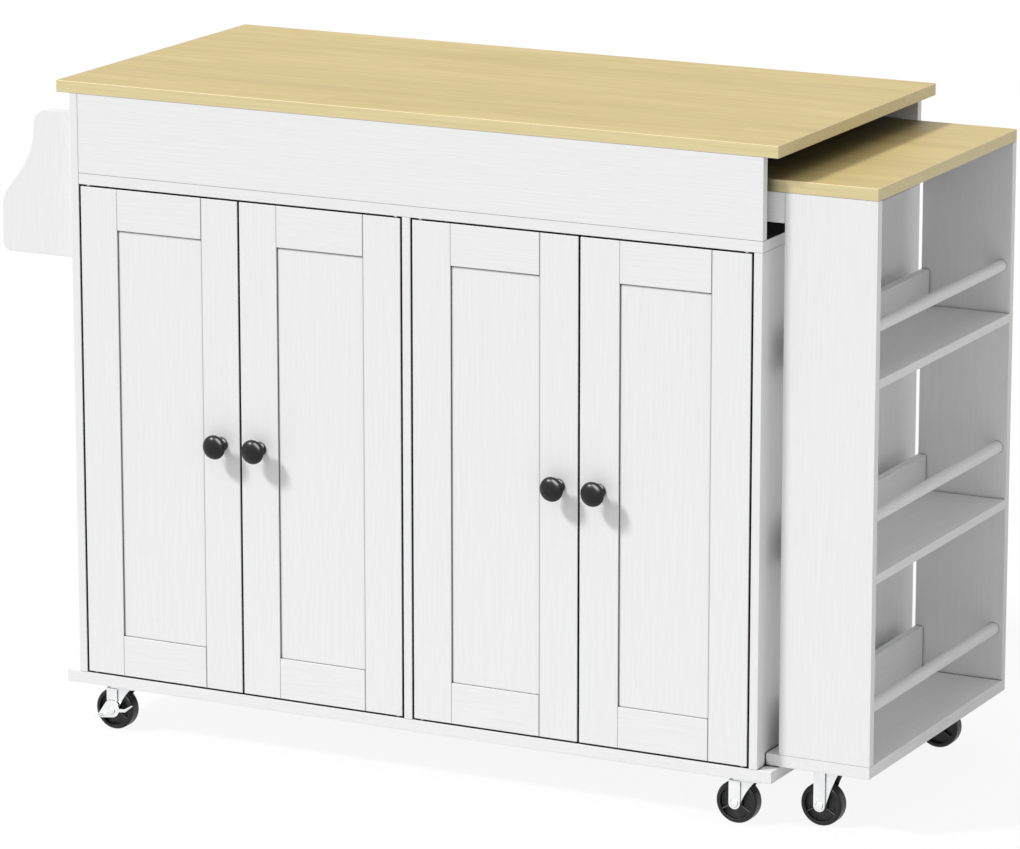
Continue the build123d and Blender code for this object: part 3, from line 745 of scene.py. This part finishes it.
def fit_out(piece, name, body, material):
    """Names and finishes a piece, smooths its round faces and lets it ride on a body."""
    piece.name = name
    piece.data.name = name
    select_only(piece)
    bpy.ops.object.shade_smooth_by_angle(angle=math.radians(smooth_angle))
    piece.data.materials.clear()
    piece.data.materials.append(material)
    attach(piece, body)
    return piece


def soften_edges(piece, width):
    """A small rounding of every sharp edge."""
    rounding = piece.modifiers.new("rounding", "BEVEL")
    rounding.width = width
    rounding.segments = 2
    rounding.limit_method = "ANGLE"
    select_only(piece)
    bpy.ops.object.modifier_apply(modifier=rounding.name)


def magnet_catch():
    """Catch under the carcass top: a block with a sunk face and two thin ears, its front on the origin."""
    piece = new_block((-catch_half_length, 0, -catch_height), (catch_half_length, catch_depth, 0))
    for side in (-1, 1):
        pick(piece, "faces", lambda centre, normal: normal.x * side > upright)
        bpy.ops.mesh.extrude_region_move(TRANSFORM_OT_translate={"value": (side * catch_ear, 0, 0)})
        bpy.ops.transform.resize(value=catch_ear_shares, center_override=(0, catch_depth / 2, 0))
        done()
    pick(piece, "faces", lambda centre, normal: normal.y < -upright and abs(centre.x) < hair)
    bpy.ops.mesh.inset(thickness=catch_rim)
    bpy.ops.mesh.extrude_region_move(TRANSFORM_OT_translate={"value": (0, catch_sink, 0)})
    done()
    soften_edges(piece, catch_ease)
    return piece


def catch_poles():
    """The catch's two steel strips, which stand a little out of its face."""
    strips = []
    for drop in pole_drops:
        z = -drop * catch_height
        strip = new_block((-pole_half_length, -pole_proud, z),
                          (pole_half_length, catch_sink, z + pole_thickness))
        soften_edges(strip, pole_ease)
        strips.append(strip)
    return joined(strips)


def strike_plate():
    """Steel plate on a door's back, with rounded corners and a screw, standing on the origin's XY plane."""
    half_x, half_y = strike_half_size
    plate = new_block((-half_x, -half_y, 0), (half_x, half_y, strike_thickness))
    for x in (-half_x, half_x):
        for y in (-half_y, half_y):
            pick(plate, "edges", lambda co: abs(co.x - x) < hair and abs(co.y - y) < hair)
            bpy.ops.mesh.bevel(offset=strike_corner, segments=4, affect="EDGES")
            done()
    return joined([plate, flat_screw(strike_screw_radius, strike_screw_height)])


def screw_places(on_rack, board):
    """Where the screws go, under a board, in the plates of the rack's casters or of the cabinet's."""
    places = []
    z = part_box(board)[0].z
    for joint in frame["joints"]:
        name = joint["name"]
        if name.startswith("swivel_") and name.startswith("swivel_rack") == on_rack:
            x, y, _ = joint["pos_m"]
            places += [(x + i * plate_screw_offset, y + j * plate_screw_offset, z)
                       for i in (-1, 1) for j in (-1, 1)]
    return places


for on_rack, board, body, name in ((False, "base_board", "cabinet", "caster_screws"),
                                   (True, "rack_base", "rack", "rack_caster_screws")):
    heads = copies(flat_screw(plate_screw_radius, plate_screw_height), screw_places(on_rack, board),
                   facing_down)
    fit_out(joined(heads), name, body, zinc)

knob_screws = []
strikes = []
for number in range(1, 5):
    low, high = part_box(f"door_{number}_frame")
    knob_low, knob_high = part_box(f"door_{number}_knob")
    middle = (knob_low + knob_high) / 2
    knob_screws.append((middle.x, high.y, middle.z))
    free_edge = high.x if number % 2 else low.x
    inwards = -1 if number % 2 else 1
    strikes.append((free_edge + inwards * strike_from_edge, high.y, high.z - strike_from_top))
heads = copies(pan_screw(*knob_screw_size), knob_screws, facing_back)
plates = copies(strike_plate(), strikes, facing_back)
for number, (head, plate) in enumerate(zip(heads, plates), start=1):
    fit_out(head, f"knob_screw_{number}", f"door_{number}", zinc)
    fit_out(plate, f"strike_plate_{number}", f"door_{number}", zinc)

catch_places = []
catch_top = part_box("carcass_top")[0].z
for left_door, right_door in ((1, 2), (3, 4)):
    right_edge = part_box(f"door_{left_door}_frame")[1]
    left_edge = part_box(f"door_{right_door}_frame")[0]
    middle_x = (right_edge.x + left_edge.x) / 2
    catch_places.append((middle_x, right_edge.y + catch_from_door, catch_top))
blocks = copies(magnet_catch(), catch_places)
strips = copies(catch_poles(), catch_places)
for side, block, strip in zip(("left", "right"), blocks, strips):
    fit_out(block, f"catch_{side}", "cabinet", glide)
    fit_out(strip, f"catch_poles_{side}", "cabinet", zinc)


# Studio

def seen_rays(tree):
    """1 for rays that the eye sees directly, or through a reflection or glass."""
    path = new_node(tree, "ShaderNodeLightPath")
    total = path.outputs["Is Camera Ray"]
    for ray in ("Is Glossy Ray", "Is Transmission Ray"):
        total = reckon(tree, "MAXIMUM", total, path.outputs[ray])
    return total


def make_room():
    """A white room: full white to the eye, and a plain level of light on the island."""
    world = bpy.data.worlds.new("studio")
    bpy.context.scene.world = world
    world.use_nodes = True
    tree = world.node_tree
    background = tree.nodes["Background"]
    background.inputs["Color"].default_value = opaque((1, 1, 1))
    strength = spread(tree, seen_rays(tree), 0.0, 1.0, room_light, 1.0)
    tree.links.new(strength, background.inputs["Strength"])


def make_floor():
    """A pale floor that keeps the island's shadow, seen mostly as white."""
    deselect_everything()
    bpy.ops.mesh.primitive_plane_add(size=floor_size, location=(0, 0, 0))
    floor = bpy.context.object
    floor.name = "studio_floor"
    material, tree, shader = new_finish("studio_white", Roughness=floor_rough, Specular_IOR_Level=0.0)
    seen = seen_rays(tree)
    colour = blend_colours(tree, seen, (floor_bounce,) * 3, (floor_seen,) * 3)
    tree.links.new(colour, shader.inputs["Base Color"])
    glow = new_node(tree, "ShaderNodeEmission", Color=opaque((1, 1, 1)), Strength=1.0)
    share = spread(tree, seen, 0.0, 1.0, 0.0, floor_whiteness)
    mix = tree.nodes.new("ShaderNodeMixShader")
    tree.links.new(share, mix.inputs[0])
    tree.links.new(shader.outputs[0], mix.inputs[1])
    tree.links.new(glow.outputs[0], mix.inputs[2])
    tree.links.new(mix.outputs[0], tree.nodes["Material Output"].inputs["Surface"])
    floor.data.materials.append(material)


def make_key_light():
    light = bpy.data.lights.new("key", "SUN")
    light.energy = key_strength
    light.angle = math.radians(key_softness)
    lamp = bpy.data.objects.new("key", light)
    bpy.context.scene.collection.objects.link(lamp)
    x, y, z = key_direction
    lamp.rotation_euler = (math.atan2(math.hypot(x, y), -z), 0, math.atan2(y, x) - math.pi / 2)


def make_window():
    """A soft window over the right shoulder, for the highlight on the knobs and casters only."""
    light = bpy.data.lights.new("window", "AREA")
    light.shape = "RECTANGLE"
    light.size, light.size_y = window_size
    light.energy = window_power
    lamp = bpy.data.objects.new("window", light)
    bpy.context.scene.collection.objects.link(lamp)
    back = Vector(window_way).normalized()
    run = Vector(window_run)
    run = (run - run.dot(back) * back).normalized()
    lamp.location = Vector(window_aim) + window_distance * back
    lamp.rotation_euler = Matrix((run, back.cross(run), back)).transposed().to_euler()
    lamp.visible_diffuse = False
    lamp.visible_camera = False
    shown_in = bpy.data.collections.new("window_shown_in")
    for name, node in frame["nodes"].items():
        if name.endswith("_knob") or name.startswith(("fork_", "axle_", "wheel_", "brake_")):
            shown_in.objects.link(node)
    lamp.light_linking.receiver_collection = shown_in


def make_camera():
    data = bpy.data.cameras.new("photo_view")
    data.sensor_width = sensor_width
    data.lens = focal_pixels / image_width * sensor_width
    data.clip_end = camera_far
    camera = bpy.data.objects.new("photo_view", data)
    bpy.context.scene.collection.objects.link(camera)
    camera.location = camera_place
    camera.rotation_euler = (math.radians(90 - camera_dip), 0, math.radians(camera_turn))
    bpy.context.scene.camera = camera


make_room()
make_floor()
make_key_light()
make_window()
make_camera()
bpy.context.scene.view_settings.view_transform = "Standard"
